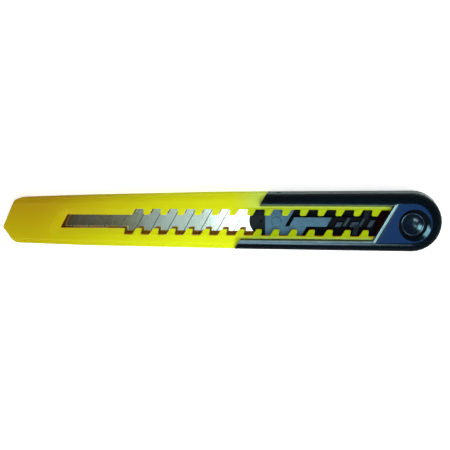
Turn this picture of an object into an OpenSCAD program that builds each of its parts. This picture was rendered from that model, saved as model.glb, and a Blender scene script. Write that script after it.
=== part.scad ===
// Slim snap-off utility knife for 9 mm blades.
// +X runs from the blade end to the round end, +Y across the width, +Z out of the toothed window.
// The origin is the middle of the footprint, on the back face that the knife lies on.
// The blade is shown fully drawn in; it comes out along -X.

/* [Handle] */
// Overall length
overall_length = 131; // [128:1:134]
// Half of the width at the round end
rear_half = 8.65; // [8.5:0.05:9]
// Half of the width at the middle of the handle
middle_half = 8.1; // [8:0.05:8.2]
// Reach of the upper side from the middle line where the taper of the case changes
waist_high = 7.1; // [7:0.05:7.3]
// Reach of the lower side from the middle line at the same place
waist_low = 7.7; // [7.6:0.05:7.7]
// Reach of the upper side from the middle line behind the blade mouth
nose_high = 6.35; // [6.2:0.05:6.4]
// Reach of the lower side from the middle line behind the blade mouth
nose_low = 7.1; // [6.9:0.05:7.1]
// Thickness over the grips
grip_thick = 10; // [10:0.1:10.6]
// How far the front grip stands proud of the case
grip_step = 1.5; // [1.3:0.1:1.6]
// Radius of the round along the front edges of the grips
grip_round = 3; // [1:0.5:3]
// Radius of the round along the front edges of the case
case_round = 2.2; // [1:0.2:3]
// Radius of the round along the edges of the back
back_round = 1; // [0.6:0.2:1.6]
// Lean of the blade end, the grip edges and the rack, in degrees
slant = 60; // [58:1:62]

/* [Grips] */
// Where the slanted front edge of the grips crosses the middle line
grip_front_x = 10.9; // [9:0.1:12]
// Where the slanted end of the front grip window crosses the middle line
grip_window_x = 49.5; // [49:0.1:50]
// Half of the height of the grip window
grip_window_half = 5.1; // [5:0.05:5.3]
// Thickness of the grip skin over the sides of the case
grip_skin = 1.5; // [1.3:0.05:1.6]

/* [Rack window] */
// Distance from notch to notch
rack_pitch = 5.155; // [5.1:0.005:5.2]
// Number of notches on each side
rack_count = 15; // [15:1:15]
// Left corner of the first upper notch
rack_x = -23.93; // [-24.2:0.01:-23.7]
// How far the lower notches sit towards the tip from the upper ones
rack_shift = 3.87; // [3.8:0.01:4]
// Width of a notch at its floor
notch_width = 2.7; // [2.6:0.05:2.8]

/* [Blade] */
// Width of the blade
blade_width = 9; // [9:0.5:9]
// Length of the blade
blade_length = 79; // [79:0.5:79]
// Thickness of the blade
blade_thick = 0.4; // [0.38:0.01:0.42]
// Length of one snap-off segment
segment_length = 5; // [5:0.5:5]
// Number of score lines
score_count = 13; // [10:1:13]
// Where the blade tip line crosses the middle line with the blade drawn in
blade_tip_x = -58.1; // [-58.4:0.1:-57.8]

/* [Slider] */
// Distance of the post from the middle of the handle
post_x = 18; // [17.9:0.1:18.1]
// Radius of the post through the blade
post_r = 1.42; // [1.4:0.01:1.44]
// Length of the thumb button
button_length = 20; // [18:1:20]
// Number of ribs on the thumb button
button_ribs = 7; // [5:1:8]

/* [Hidden] */
$fn = 48;

tiny = 0.01;
seat_gap = 0.05;            // gap between shells that are fitted together
run_gap = 0.1;              // gap between pieces that slide
run = 1 / tan(slant);       // X per Y along every slanted edge

tip_x = -overall_length / 2;
end_x = overall_length / 2 - rear_half;
tip_y = -2;                 // height of the point of the case
nose_top_x = tip_x + 4;
nose_bottom_x = tip_x + 3.4;
waist_x = -40;
far = overall_length;       // well outside the knife, for cutting shapes
round_step = 15;            // degrees between the layers of a rounded edge

// Levels of the layers
split_z = grip_thick / 2;
case_top = grip_thick - grip_step;
wall_thick = 1.5;
trough_z = 1.5;             // floor of the trough that the thumb button runs in
cavity_low = trough_z + wall_thick;
cavity_high = case_top - wall_thick;
blade_z = 4.9;
blade_top = blade_z + blade_thick;
mouth_gap = 0.15;           // room above and below the blade in its mouth

// Cutting edge and score lines of the blade
bevel_width = 1.6;
edge_half = 0.02;           // half of what is left of the thickness at the very edge
score_depth = 0.1;
score_half = 0.12;
post_gap = 0.06;            // gap between the post and the hole in the blade

cavity_half = blade_width / 2 + 0.2;
cavity_front = -58.2;
case_rear = 52.4;           // end of the wide part of the case, inside the grips
cavity_rear = 50.5;

// Window in the front wall
slot_low = -2.2;
slot_high = 1.9;
notch_low = -4;
notch_high = 3.8;
slot_front_x = -46.1;
lean_near = 0.4;            // lean of a notch's steep side
lean_far = 1.15;            // lean of its shallow side

// Slot in the side face where the two grips are pried apart
pry_x = 18.4;
pry_size = [1.4, 1.4, 2.6];

// Rivet through the round end
rivet_x = 57.1;
rivet_r = 1.75;
rivet_head_r = 3.45;
recess_r = 4;
recess_depth = 1.3;
head_height = 1.2;
head_edge = 0.3;            // bevel round the head
bowl_half = 2.7;            // radius of the bowl in the front head, at its rim
bowl_depth = 0.9;
dome_height = 1;            // height of the rear head
tongue_half = 4;            // half of the width of the case's tail tongue

travel = 13 * rack_pitch;   // the lock sits in a notch at both ends of the travel
slot_half = 1.6;            // slot in the back wall for the slider's neck
neck_length = 12;
neck_x = 13;
button_x = 10;
peg_r = 0.6;
peg_places = [-48, -12, 24];
peg_y = 5.65;
joint_peg_r = 0.9;
joint_peg_length = 1;
joint_pegs = [15, 23];

// Lock arm: a bar with a ribbed tail whose lugs stand in the rack
arm_low = -1.4;
arm_high = 1.3;
arm_base_top = 6;
arm_top = 6.8;
bar_start = 22.4;
bar_end = 33.3;
tail_blocks = [[35.7, 38.1], [39.9, 42.6], [44.3, 46.2]];
lug_top = 8;
lug_width = 1.5;
lug_gap = 0.35;             // gap between a lug and the floor of its notch
lug_root = 0.2;             // how far a lug runs into the arm
lug_notch = 13;             // the notch that the lugs stand in with the blade drawn in

yellow = [0.80, 0.84, 0.10];
black = [0.08, 0.11, 0.18];
steel = [0.78, 0.82, 0.82];
slate = [0.32, 0.44, 0.50];

// Half of the width of the handle at x, from its middle to the round end
function half_at(x) = middle_half + (rear_half - middle_half) * x / end_x;

// X where a slanted line through (x, 0) reaches height y
function slant_x(x, y) = x + y * run;

// Unit vector to the left of the way from a to b
function left_of(a, b) = [a[1] - b[1], b[0] - a[0]] / norm(b - a);

// Corners of an anticlockwise convex outline, pulled in by inset
function pull_in(points, inset) = [
    for (i = [0 : len(points) - 1])
        let (
            n = len(points),
            p = points[i],
            before = left_of(points[(i + n - 1) % n], p),
            after = left_of(p, points[(i + 1) % n])
        )
        p + inset * (before + after) / (1 + before * after)
];

// Half of the width of the case where the grips cover its sides
function hidden_half(x, gap) = half_at(x) - grip_skin - gap;

// The case seen from the front, as if it ran on at full width under the grips
case_points = [
    [tip_x, tip_y],
    [nose_bottom_x, -nose_low],
    [waist_x, -waist_low],
    [0, -middle_half],
    [case_rear, -half_at(case_rear)],
    [case_rear, half_at(case_rear)],
    [0, middle_half],
    [waist_x, waist_high],
    [nose_top_x, nose_high]
];

// The grips seen from the front, as if they ran on a little past their slanted edge
grip_start = grip_front_x - 12;
grip_points = concat(
    [[grip_start, half_at(grip_start)], [grip_start, -half_at(grip_start)]],
    [for (a = [-90:6:90]) [end_x + rear_half * cos(a), rear_half * sin(a)]]
);

// The part of the case that the grips cover, with the side edges pulled in for the grip's skin.
// It starts a little ahead of the grips, where it is one with the rest of the case.
module hidden_outline(gap) {
    start = grip_front_x - 1;
    front = hidden_half(grip_start, gap);
    back = hidden_half(case_rear, gap);
    polygon([
        [slant_x(start, -front), -front],
        [case_rear - gap, -back],
        [case_rear - gap, back],
        [slant_x(start, front), front]
    ]);
}

// Tongue at the tail of the case, with a round end about the rivet
module tongue_outline(gap) {
    translate([rivet_x, 0]) circle(r = tongue_half - gap);
    translate([case_rear - 1, -tongue_half + gap])
        square([rivet_x - case_rear + 1, 2 * (tongue_half - gap)]);
}

// Everything on the tip's side of the slanted grip edge, or on the other side of it
module tip_side(gap) {
    polygon([
        [-far, -far], [slant_x(grip_front_x, -far) + gap, -far],
        [slant_x(grip_front_x, far) + gap, far], [-far, far]
    ]);
}

module grip_side(gap) {
    polygon([
        [slant_x(grip_front_x, -far) - gap, -far], [2 * far, -far],
        [2 * far, far], [slant_x(grip_front_x, far) - gap, far]
    ]);
}

// One layer of an outline between two levels
module layer(low, high) {
    translate([0, 0, low]) linear_extrude(height = high - low) children();
}

// A slab between two levels whose upper outer edge is rounded
module rounded_slab(points, low, high, edge) {
    hull()
        for (a = [0:round_step:90])
            layer(low, high - edge * (1 - sin(a))) polygon(pull_in(points, edge * (1 - cos(a))));
}

// The toothed window: a plain slot with a row of leaning notches on each side
module rack_window() {
    polygon([
        [slant_x(slot_front_x, slot_low), slot_low],
        [slant_x(slot_front_x, slot_high), slot_high],
        [slant_x(grip_window_x + 0.8, slot_high), slot_high],
        [slant_x(grip_window_x + 0.8, slot_low), slot_low]
    ]);
    for (i = [0 : rack_count - 1]) {
        upper = rack_x + i * rack_pitch;
        lower = upper - rack_shift;
        polygon([
            [upper, notch_high],
            [upper + notch_width, notch_high],
            [upper + notch_width - lean_near, slot_high - tiny],
            [upper - lean_far, slot_high - tiny]
        ]);
        polygon([
            [lower, notch_low],
            [lower + notch_width, notch_low],
            [lower + notch_width + lean_far, slot_low + tiny],
            [lower + lean_near, slot_low + tiny]
        ]);
    }
}

// Space inside the case: the wide cavity and the thin blade mouth in the nose
module case_space() {
    layer(cavity_low, cavity_high) translate([cavity_front, -cavity_half])
        square([cavity_rear - cavity_front, 2 * cavity_half]);
    layer(blade_z - mouth_gap, blade_top + mouth_gap) translate([tip_x - 1, -cavity_half])
        square([cavity_front - tip_x + 2, 2 * cavity_half]);
}

module rivet_hole() {
    translate([rivet_x, 0, -1]) cylinder(r = rivet_r + seat_gap, h = grip_thick + 2);
}

module pry_slot() {
    translate([pry_x, half_at(pry_x), split_z]) cube(pry_size, center = true);
}

// A straight channel with slanted ends between two x values on the middle line
module slanted_channel(from, to, half) {
    polygon([
        [slant_x(from, -half), -half],
        [slant_x(from, half), half],
        [slant_x(to, half), half],
        [slant_x(to, -half), -half]
    ]);
}

module front_case() {
    color(yellow) difference() {
        union() {
            difference() {
                rounded_slab(case_points, split_z, case_top, case_round);
                layer(0, grip_thick) grip_side(seat_gap);
            }
            layer(split_z, case_top) hidden_outline(seat_gap);
            layer(split_z, split_z + wall_thick) tongue_outline(seat_gap);
        }
        case_space();
        layer(cavity_high - 1, case_top + 1) rack_window();
        for (x = peg_places, side = [-1, 1])
            translate([x, side * peg_y, split_z - 1]) cylinder(r = peg_r + seat_gap, h = 2.1);
        rivet_hole();
    }
}

module rear_case() {
    color(yellow) difference() {
        union() {
            difference() {
                mirror([0, 0, 1]) rounded_slab(case_points, -split_z, 0, back_round);
                layer(-1, grip_thick) grip_side(seat_gap);
            }
            layer(trough_z, split_z) hidden_outline(seat_gap);
            layer(split_z - wall_thick, split_z) tongue_outline(seat_gap);
            for (x = peg_places, side = [-1, 1])
                translate([x, side * peg_y, split_z - 1]) cylinder(r = peg_r, h = 2);
        }
        case_space();
        // Trough for the thumb button, and the slot for its neck
        layer(-1, trough_z) slanted_channel(button_x - travel - 2.5, grip_front_x + 20, grip_window_half);
        layer(-1, cavity_low + 1) translate([neck_x - travel - 0.4, -slot_half])
            square([neck_length + travel + 0.8, 2 * slot_half]);
        rivet_hole();
    }
}

module front_grip() {
    color(black) difference() {
        rounded_slab(grip_points, split_z, grip_thick, grip_round);
        layer(0, grip_thick + 1) tip_side(0);
        layer(split_z - 1, case_top) hidden_outline(0);
        layer(split_z - 1, split_z + wall_thick) tongue_outline(0);
        layer(case_top - 1, grip_thick + 1) slanted_channel(-10, grip_window_x, grip_window_half);
        translate([rivet_x, 0, grip_thick - recess_depth]) cylinder(r = recess_r, h = 2);
        rivet_hole();
        pry_slot();
    }
}

module rear_grip() {
    color(black) difference() {
        mirror([0, 0, 1]) rounded_slab(grip_points, -split_z, 0, back_round);
        layer(-1, grip_thick) tip_side(0);
        layer(trough_z, split_z + 1) hidden_outline(0);
        layer(split_z - wall_thick, split_z + 1) tongue_outline(0);
        // Channel that the thumb button runs in
        layer(-1, trough_z + 1) slanted_channel(-10, button_x + button_length + 2, grip_window_half);
        translate([rivet_x, 0, recess_depth - 2]) cylinder(r = recess_r, h = 2);
        rivet_hole();
        pry_slot();
    }
}

// Radius of the sphere that has a cap of this radius and height
function cap_sphere(radius, height) = (pow(radius, 2) + pow(height, 2)) / (2 * height);

// Low dome of the rear head, its flat side at z = 0
module rivet_dome() {
    dome_r = cap_sphere(rivet_head_r, dome_height);
    intersection() {
        translate([0, 0, dome_height - dome_r]) sphere(r = dome_r, $fn = 96);
        cylinder(r = rivet_head_r, h = dome_height + 1);
    }
}

// The rivet's shank and its front head, a round button with a bowl in its face
module end_rivet() {
    head_z = grip_thick - recess_depth;
    bowl_r = cap_sphere(bowl_half, bowl_depth);
    color(black) translate([rivet_x, 0, 0]) {
        translate([0, 0, 0.6]) cylinder(r = rivet_r, h = head_z - 0.5);
        translate([0, 0, head_z]) difference() {
            union() {
                cylinder(r = rivet_head_r, h = head_height - head_edge);
                translate([0, 0, head_height - head_edge])
                    cylinder(r1 = rivet_head_r, r2 = rivet_head_r - head_edge, h = head_edge);
            }
            translate([0, 0, head_height + bowl_r - bowl_depth]) sphere(r = bowl_r, $fn = 96);
        }
    }
}

module rivet_collar() {
    color(black) translate([rivet_x, 0, 0]) difference() {
        union() {
            translate([0, 0, recess_depth - 0.2 - tiny]) cylinder(r = rivet_head_r, h = 0.2 + tiny);
            translate([0, 0, recess_depth - 0.2]) mirror([0, 0, 1]) rivet_dome();
        }
        translate([0, 0, 0.55]) cylinder(r = rivet_r + seat_gap, h = 2);
    }
}

// What the grinding takes off one face of the blade along its cutting edge
module ground_away() {
    edge_y = -blade_width / 2;
    rotate([0, 90, 0]) linear_extrude(height = 2 * far, center = true)
        polygon([
            [-edge_half, edge_y - tiny],
            [-blade_thick, edge_y - tiny],
            [-blade_thick, edge_y + bevel_width],
            [-blade_thick / 2, edge_y + bevel_width]
        ]);
}

module blade() {
    color(steel) difference() {
        layer(blade_z, blade_top)
            slanted_channel(blade_tip_x, blade_tip_x + blade_length, blade_width / 2);
        for (side = [0, 1])
            translate([0, 0, blade_z + blade_thick / 2]) mirror([0, 0, side]) ground_away();
        // Score lines across the front face
        for (i = [1 : score_count])
            layer(blade_top - score_depth, blade_top + 1)
                slanted_channel(blade_tip_x + i * segment_length - score_half,
                                blade_tip_x + i * segment_length + score_half, blade_width);
        translate([post_x, 0, 0]) cylinder(r = post_r + post_gap, h = grip_thick);
    }
}

module blade_carrier() {
    front = 12;
    back = 46.6;
    half = (blade_width - run_gap) / 2;
    color(black) difference() {
        union() {
            layer(cavity_low + run_gap, blade_z) translate([front, -half])
                square([back - front, 2 * half]);
            translate([post_x, 0, cavity_low + run_gap])
                cylinder(r = post_r, h = arm_top - cavity_low - run_gap);
        }
        for (x = joint_pegs)
            translate([x, 0, cavity_low])
                cylinder(r = joint_peg_r + seat_gap, h = joint_peg_length + run_gap);
    }
}

module blade_clip() {
    nose_r = 4.5;
    nose_x = 14.2;
    pad_x = 14.6;
    pad_end = 21.2;
    foot_end = 26.8;
    foot_y = -3;
    dimple_r = 0.5;
    dimple_x = nose_x - 0.8;
    dimple_depth = 0.3;
    nose_top = arm_base_top - 0.1;
    color(slate) difference() {
        union() {
            // Low half-round nose that lies on the blade
            layer(blade_top, nose_top) intersection() {
                translate([nose_x, 0]) circle(r = nose_r);
                translate([0, -nose_r]) square([pad_x, 2 * nose_r]);
            }
            // Pad round the post, with a slanted back edge and a foot under the lock arm
            layer(blade_top, arm_top) polygon([
                [pad_x, -nose_r], [pad_x, nose_r],
                [slant_x(pad_end, nose_r), nose_r],
                [slant_x(pad_end, arm_low), arm_low],
                [foot_end, arm_low], [slant_x(foot_end, foot_y), -nose_r]
            ]);
        }
        translate([post_x, 0, 0]) cylinder(r = post_r + seat_gap, h = grip_thick);
        translate([dimple_x, 0, nose_top - dimple_depth]) cylinder(r = dimple_r, h = 1);
    }
}

// A block of the lock arm with slanted ends, between two x values on the middle line
module arm_block(from, to, low_z, high_z) {
    layer(low_z, high_z) polygon([
        [slant_x(from, arm_low), arm_low],
        [slant_x(from, arm_high), arm_high],
        [slant_x(to, arm_high), arm_high],
        [slant_x(to, arm_low), arm_low]
    ]);
}

module lock_arm() {
    upper = rack_x + lug_notch * rack_pitch;
    lower = upper - rack_shift;
    color(slate) {
        arm_block(bar_start, tail_blocks[2][1], blade_top, arm_base_top);
        arm_block(bar_start, bar_end, blade_top, arm_top);
        for (b = tail_blocks) arm_block(b[0], b[1], blade_top, arm_top);
        // Lugs that stand up into one upper and one lower notch
        layer(blade_top, lug_top) polygon([
            [upper + 0.5, notch_high - lug_gap],
            [upper + 0.5 + lug_width, notch_high - lug_gap],
            [upper + lug_width - 0.1, arm_high - lug_root],
            [upper - 0.1, arm_high - lug_root]
        ]);
        layer(blade_top, lug_top) polygon([
            [lower + 0.6, notch_low + lug_gap],
            [lower + 0.6 + lug_width, notch_low + lug_gap],
            [lower + lug_width + 1.3, arm_low + lug_root],
            [lower + 1.3, arm_low + lug_root]
        ]);
    }
}

module thumb_slider() {
    button_low = 0.55;
    rib_low = 0.1;
    rib_x = button_x + 3.6;
    rib_step = 2.2;
    half = grip_window_half - 0.35;
    rib_half = half - 0.5;
    color(black) {
        layer(button_low, trough_z - run_gap)
            slanted_channel(button_x + half * run, button_x + button_length - half * run, half);
        // Ribs under the thumb
        for (i = [0 : button_ribs - 1])
            layer(rib_low, button_low + tiny)
                slanted_channel(rib_x + i * rib_step, rib_x + (i + 0.5) * rib_step, rib_half);
        // Neck through the slot, and the pegs that hold it in the carrier
        layer(trough_z - run_gap - tiny, cavity_low + run_gap)
            translate([neck_x, -slot_half + run_gap])
                square([neck_length, 2 * (slot_half - run_gap)]);
        for (x = joint_pegs)
            translate([x, 0, cavity_low]) cylinder(r = joint_peg_r, h = joint_peg_length);
    }
}

front_case();
rear_case();
front_grip();
rear_grip();
end_rivet();
rivet_collar();
blade();
blade_carrier();
blade_clip();
lock_arm();
thumb_slider();
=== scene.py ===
"""Looks of the snap-off utility knife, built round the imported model.

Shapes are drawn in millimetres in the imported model's frame and turned into metres at the end.
+X runs from the blade end to the round end, +Y across the width, +Z out of the toothed window.
"""

import math

import bmesh
import bpy
from mathutils import Matrix, Vector


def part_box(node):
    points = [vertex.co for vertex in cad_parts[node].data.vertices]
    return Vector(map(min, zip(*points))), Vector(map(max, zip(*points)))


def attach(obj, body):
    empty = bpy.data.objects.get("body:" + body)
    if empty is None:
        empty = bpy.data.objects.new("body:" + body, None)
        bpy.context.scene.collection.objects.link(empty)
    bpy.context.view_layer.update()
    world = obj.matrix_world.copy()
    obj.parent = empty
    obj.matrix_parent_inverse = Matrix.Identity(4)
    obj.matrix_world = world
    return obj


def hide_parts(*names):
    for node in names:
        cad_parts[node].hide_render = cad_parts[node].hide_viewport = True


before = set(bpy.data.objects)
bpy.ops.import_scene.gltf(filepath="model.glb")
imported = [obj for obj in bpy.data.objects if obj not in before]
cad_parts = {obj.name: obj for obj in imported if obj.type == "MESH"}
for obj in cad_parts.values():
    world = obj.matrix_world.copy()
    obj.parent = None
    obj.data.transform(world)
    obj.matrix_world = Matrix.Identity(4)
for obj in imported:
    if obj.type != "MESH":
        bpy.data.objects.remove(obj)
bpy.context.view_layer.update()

MM = 0.001


def mm_box(node):
    """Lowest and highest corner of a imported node, in millimetres."""
    low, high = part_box(node)
    return low / MM, high / MM


# ---------------------------------------------------------------- sizes, in millimetres

case_low, case_high = mm_box("front_case")
back_low = mm_box("rear_case")[0]
grip_high = mm_box("front_grip")[1]
blade_low, blade_high = mm_box("blade")
clip_high = mm_box("blade_clip")[1]
arm_low, arm_high = mm_box("lock_arm")
carrier_low, carrier_high = mm_box("blade_carrier")
rivet_low, rivet_high = mm_box("end_rivet")

RUN = 1 / math.tan(math.radians(60))    # X per Y along every slanted edge
CLEAR = 14                  # well past the sides of the handle
BELOW, ABOVE = -2, 14       # well under and over it
OPEN_X = -20                # well ahead of the grips, where the cutters for their windows start
JOIN_ROUND = 0.12           # rounding of the edges where two shells meet

tip_x = case_low.x
split_z = case_low.z
case_top = case_high.z
grip_top = grip_high.z
rear_half = grip_high.y
end_x = grip_high.x
TIP_Y = -2
NOSE_TOP_X = tip_x + 4.0
NOSE_BOTTOM_X = tip_x + 3.4
NOSE_HIGH, NOSE_LOW = 6.35, 7.1
WAIST_X = -40
WAIST_HIGH, WAIST_LOW = 7.1, 7.7
MIDDLE_HALF = 8.1
CASE_REAR = 52.4
GRIP_ROUND = 3
CASE_ROUND = 2.2
TIP_ROUND = 0.2             # the tip's edges are rounded by this share of the sides' rounding
BACK_ROUND = 1.0

GRIP_FRONT_X = 10.4         # where slanted edges cross the middle line
GRIP_WINDOW_X = 48.9
GRIP_WINDOW_HALF = 5.1
GRIP_SKIN = 1.5             # thickness of the grips beside the case
LOWER_PULL = 0.3            # the round end is this much slimmer on its lower side
SEAT_GAP = 0.06             # between the grips' slanted ends and the case's step for them
TROUGH_Z = 1.5              # bottom of the trough, and inner face of the rear grip
TROUGH_X = (-59.5, 30)      # where the thumb slider's trough starts and ends
CAVITY = (3.0, 7.0)         # floor and ceiling of the space inside
CAVITY_HALF = 4.7
CAVITY_FRONT = -58.2
CAVITY_REAR = 50.5

RACK_PITCH = 5.155
RACK_COUNT = 15
RACK_X = -23.93             # the first upper notch
RACK_SHIFT = 3.87           # the lower notches lie this much nearer the tip
NOTCH_WIDTH = 2.7
SLOT_LOW, SLOT_HIGH = -2.2, 1.9
NOTCH_LOW, NOTCH_HIGH = -4.0, 3.8
SLOT_FRONT_X = -46.1
LEAN_NEAR, LEAN_FAR = 0.4, 1.15     # how far the two sides of a notch lean

RIVET_X = (rivet_low.x + rivet_high.x) / 2
RECESS_R = 4.0
RECESS_DEPTH = 1.3
RIVET_HEAD_R = 3.45
BOWL_HALF, BOWL_DEPTH = 2.95, 1.15
TRAVEL = 13 * RACK_PITCH    # from the 14th notch, with the blade in, to the first
GAP_WIDTH = 0.3             # between the case's face and the edge of the grips
GAP_UPPER = 0.25            # how much wider it is on the upper side
PRY_X = 18.4                # the small slot in the upper side where the grips are pried apart
PRY_HALF, PRY_RISE = 0.7, 1.3

NECK_X = (13, 25)           # the thumb slider's neck, which runs in the slot
NECK_HALF = 1.5
POST_X = 18.0
POST_R = 1.42
ARM_LOW, ARM_HIGH = -1.4, 1.3
ARM_BASE_TOP = 6.0          # top of the low strip that the raised parts stand on
TAIL_END = 46.2
TAIL_BLOCKS = [             # from x, to x, low y and high y of the raised parts
    (35.7, 37.3, ARM_LOW, -0.1),
    (37.9, 38.7, ARM_LOW + 0.2, ARM_HIGH),
    (39.9, 42.0, ARM_LOW, 0.0),
    (42.4, 43.1, ARM_LOW + 0.2, ARM_HIGH),
    (44.9, TAIL_END, ARM_LOW, 0.6),
]


def half_at(x):
    """Half of the width of the handle at x, from its middle to the round end."""
    return MIDDLE_HALF + (rear_half - MIDDLE_HALF) * x / (end_x - rear_half)


def slant_x(x, y):
    """X where a slanted line through (x, 0) reaches height y."""
    return x + y * RUN


# ---------------------------------------------------------------- mesh tools

def outline(corners, inset=0.0, shares=None, degrees=12):
    """Points of an anticlockwise outline. corners are (x, y, radius), each rounded, and the
    whole is pulled in by inset, times a share for each edge if shares says so. An edge
    starts at the corner of the same number."""
    count = len(corners)
    shares = shares or [1.0] * count
    points = []
    for i, (x, y, radius) in enumerate(corners):
        here = Vector((x, y))
        before = (here - Vector(corners[i - 1][:2])).normalized()
        after = (Vector(corners[(i + 1) % count][:2]) - here).normalized()
        left_before = Vector((-before.y, before.x))
        left_after = Vector((-after.y, after.x))
        move_before, move_after = inset * shares[i - 1], inset * shares[i]
        cross = left_before.x * left_after.y - left_before.y * left_after.x
        corner = here + Vector((
            (move_before * left_after.y - move_after * left_before.y) / cross,
            (move_after * left_before.x - move_before * left_after.x) / cross,
        ))
        turn = math.atan2(before.cross(after), before.dot(after))
        pull = (move_before + move_after) / 2
        radius = max(radius - pull if turn > 0 else radius + pull, 0.03)
        side = 1 if turn > 0 else -1
        start = corner - before * radius * math.tan(abs(turn) / 2)
        centre = start + left_before * radius * side
        steps = max(1, round(abs(math.degrees(turn)) / degrees))
        spoke = start - centre
        for k in range(steps + 1):
            turned = spoke.copy()
            turned.rotate(Matrix.Rotation(turn * k / steps, 2))
            points.append(centre + turned)
    return points


def ring(x, y, radius, count=64):
    """Points of a circle, anticlockwise."""
    return [Vector((x + radius * math.cos(2 * math.pi * k / count),
                    y + radius * math.sin(2 * math.pi * k / count))) for k in range(count)]


def slanted_corners(from_x, to_x, half, radius):
    """Corners for outline() with slanted ends between two x values on the middle line."""
    return [(slant_x(from_x, -half), -half, radius), (slant_x(to_x, -half), -half, radius),
            (slant_x(to_x, half), half, radius), (slant_x(from_x, half), half, radius)]


def new_object(name, bm):
    """Object made of the mesh in bm."""
    mesh = bpy.data.meshes.new(name)
    bm.to_mesh(mesh)
    bm.free()
    piece = bpy.data.objects.new(name, mesh)
    bpy.context.scene.collection.objects.link(piece)
    return piece


def loft(name, levels):
    """Closed solid through a stack of outlines with equal counts: (points, z), from low to high."""
    bm = bmesh.new()
    rings = [[bm.verts.new((p.x, p.y, z)) for p in points] for points, z in levels]
    count = len(rings[0])
    for low, high in zip(rings, rings[1:]):
        for i in range(count):
            j = (i + 1) % count
            bm.faces.new((low[i], low[j], high[j], high[i]))
    bm.faces.new(list(reversed(rings[0])))
    bm.faces.new(rings[-1])
    return new_object(name, bm)


def slab(name, low, high):
    """Closed solid between two grids of (x, y, z) points, in columns along +X and rows along +Y."""
    bm = bmesh.new()
    low = [[bm.verts.new(point) for point in column] for column in low]
    high = [[bm.verts.new(point) for point in column] for column in high]
    last_c, last_r = len(low) - 1, len(low[0]) - 1
    for c in range(last_c):
        for r in range(last_r):
            bm.faces.new((low[c][r], low[c][r + 1], low[c + 1][r + 1], low[c + 1][r]))
            bm.faces.new((high[c][r], high[c + 1][r], high[c + 1][r + 1], high[c][r + 1]))
        bm.faces.new((low[c][0], low[c + 1][0], high[c + 1][0], high[c][0]))
        bm.faces.new((low[c][last_r], high[c][last_r], high[c + 1][last_r], low[c + 1][last_r]))
    for r in range(last_r):
        bm.faces.new((low[0][r], high[0][r], high[0][r + 1], low[0][r + 1]))
        bm.faces.new((low[last_c][r], low[last_c][r + 1], high[last_c][r + 1], high[last_c][r]))
    return new_object(name, bm)


def turned_over(cutter):
    """The same cutter upside down, for use from the back face."""
    cutter.data.transform(Matrix.Scale(-1, 4, Vector((0, 0, 1))))
    cutter.data.flip_normals()
    return cutter


def rounded_levels(corners, low, high, round_low=0.0, round_high=0.0, steps=8, shares=None):
    """Outlines of a slab whose lower and upper edges are rounded."""
    def at(inset):
        return outline(corners, inset, shares)

    levels = []
    for k in range(steps + 1 if round_low else 1):
        a = math.pi / 2 * k / steps
        levels.append((at(round_low * (1 - math.sin(a))), low + round_low * (1 - math.cos(a))))
    for k in range(steps + 1 if round_high else 1):
        a = math.pi / 2 * k / steps
        levels.append((at(round_high * (1 - math.cos(a))), high - round_high * (1 - math.sin(a))))
    return levels


def opening_levels(points_at, low, high, flare, steps=5):
    """Outlines of a cutter that goes from low up through a face at high and leaves a rim
    rounded by flare. points_at(outset) gives the outline."""
    levels = [(points_at(0), low)]
    for k in range(steps + 1):
        a = math.pi / 2 * k / steps
        levels.append((points_at(flare * (1 - math.cos(a))), high + 0.004 - flare * (1 - math.sin(a))))
    levels.append((points_at(flare), high + 1))
    return levels


def applied(piece):
    """Turns the modifiers into mesh."""
    graph = bpy.context.evaluated_depsgraph_get()
    graph.update()
    mesh = bpy.data.meshes.new_from_object(piece.evaluated_get(graph))
    old = piece.data
    piece.modifiers.clear()
    piece.data = mesh
    bpy.data.meshes.remove(old)
    return piece


def combine(piece, operation, *others):
    """Cuts the other solids from the piece, or adds them to it, and deletes them."""
    for other in others:
        step = piece.modifiers.new("combine", "BOOLEAN")
        step.operation = operation
        step.solver = "EXACT"
        step.object = other
        applied(piece)
        bpy.data.objects.remove(other)
    return piece


def cut(piece, *others):
    """The piece without the other solids."""
    return combine(piece, "DIFFERENCE", *others)


def add(piece, *others):
    """The piece joined with the other solids."""
    return combine(piece, "UNION", *others)


def bevelled(piece, width, segments=2, angle=35):
    """The piece with every edge sharper than angle, in degrees, rounded to width."""
    step = piece.modifiers.new("bevel", "BEVEL")
    step.width = width
    step.segments = segments
    step.limit_method = "ANGLE"
    step.angle_limit = math.radians(angle)
    step.use_clamp_overlap = True
    step.miter_outer = "MITER_ARC"
    return applied(piece)


def prism(name, points, low, high):
    """Plain upright solid on an outline."""
    return loft(name, [(points, low), (points, high)])


def polygon(*points):
    """Outline with sharp corners."""
    return [Vector(p) for p in points]


def slanted(from_x, to_x, low, high):
    """Outline with slanted ends between two x values on the middle line."""
    return polygon((slant_x(from_x, low), low), (slant_x(to_x, low), low),
                   (slant_x(to_x, high), high), (slant_x(from_x, high), high))


def box(name, low, high):
    """Block between its lowest and highest corner."""
    return prism(name, polygon((low[0], low[1]), (high[0], low[1]), (high[0], high[1]),
                               (low[0], high[1])), low[2], high[2])


def finished(piece, body, slot, material, *nodes, sharp=32):
    """Brings a piece to metres, sets its shading and material, and ties it to the frame."""
    mesh = piece.data
    mesh.transform(Matrix.Scale(MM, 4))
    bm = bmesh.new()
    bm.from_mesh(mesh)
    bmesh.ops.remove_doubles(bm, verts=bm.verts, dist=2e-7)
    bmesh.ops.dissolve_degenerate(bm, edges=bm.edges, dist=1e-7)
    bm.to_mesh(mesh)
    bm.free()
    mesh.shade_smooth()
    mesh.set_sharp_from_angle(angle=math.radians(sharp))
    normals = piece.modifiers.new("normals", "WEIGHTED_NORMAL")
    normals.keep_sharp = True
    normals.weight = 100
    mesh.materials.clear()
    mesh.materials.append(material)
    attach(piece, body)
    if nodes:
        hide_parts(*nodes)


# ---------------------------------------------------------------- materials

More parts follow.
